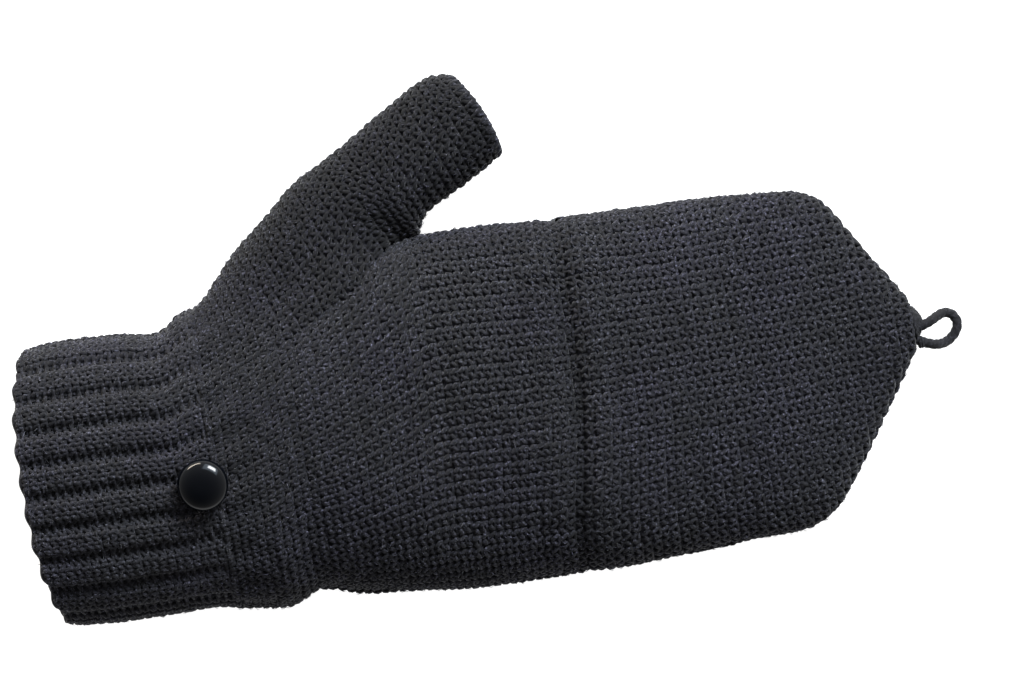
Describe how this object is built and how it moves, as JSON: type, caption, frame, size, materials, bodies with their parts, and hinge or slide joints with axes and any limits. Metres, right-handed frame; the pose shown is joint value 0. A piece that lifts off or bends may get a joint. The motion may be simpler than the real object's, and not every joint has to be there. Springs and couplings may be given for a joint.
{
  "type": "convertible flip-top mitten",
  "caption": "Knitted convertible mitten, right hand: ribbed cuff, open half thumb, half-finger stubs under a flip-back cap with a cord loop that fastens over a domed button.",
  "frame": {"origin": "middle of the mitten's outline without its loop, on the surface that the palm rests on", "axes": "+X from the wrist to the fingertips, +Y towards the thumb side, +Z out of the back of the hand"},
  "size_m": [0.2611, 0.1407, 0.0498],
  "materials": {
    "rib_knit": "charcoal acrylic yarn, two by two rib, matte with a fine fuzz",
    "plain_knit": "charcoal acrylic yarn, plain knit, matte with a fine fuzz",
    "knit_edge": "charcoal acrylic yarn, cast-on and bound-off edges, matte",
    "loop_cord": "twisted charcoal yarn cord, matte",
    "yarn": "black sewing and linking yarn, matte",
    "button_plastic": "black, polished"
  },
  "bodies": {
    "hand": {"cuff_edge": "knit_edge", "cuff_rib": "rib_knit", "hand_body": "plain_knit", "thumb_gusset": "plain_knit", "index_stub": "plain_knit", "middle_stub": "plain_knit", "ring_stub": "plain_knit", "little_stub": "plain_knit", "cap_seam": "yarn"},
    "thumb": {"thumb_tube": "plain_knit", "thumb_edge": "knit_edge"},
    "cap": {"cap_back": "plain_knit", "cap_palm": "plain_knit", "cap_welt": "knit_edge", "loop_knot": "yarn"},
    "loop": {"tip_loop": "loop_cord"},
    "button_stalk": {"button_thread": "yarn"},
    "button": {"button": "button_plastic"}
  },
  "joints": [
    {"name": "cap_flip", "type": "hinge", "parent": "hand", "child": "cap", "pos_m": [0.02875, -0.02152, 0.0372], "axis": [0.0362, -0.9993, 0], "range_deg": [0, 188], "deforming": ["cap_palm", "cap_welt"]},
    {"name": "loop_swing", "type": "hinge", "parent": "cap", "child": "loop", "pos_m": [0.12585, -0.02242, 0.0062], "axis": [0.0362, -0.9993, 0], "range_deg": [0, 25]},
    {"name": "thumb_swing", "type": "hinge", "parent": "hand", "child": "thumb", "pos_m": [-0.01375, 0.04598, 0.0157], "axis": [0, 0, 1], "range_deg": [-10, 12], "deforming": ["thumb_gusset"]},
    {"name": "button_rock", "type": "hinge", "parent": "hand", "child": "button_stalk", "pos_m": [-0.07675, -0.02902, 0.0438], "axis": [0, 1, 0], "range_deg": [-8, 8]},
    {"name": "button_turn", "type": "hinge", "parent": "button_stalk", "child": "button", "pos_m": [-0.07675, -0.02902, 0.0455], "axis": [0, 0, 1], "range_deg": [-60, 60]}
  ]
}
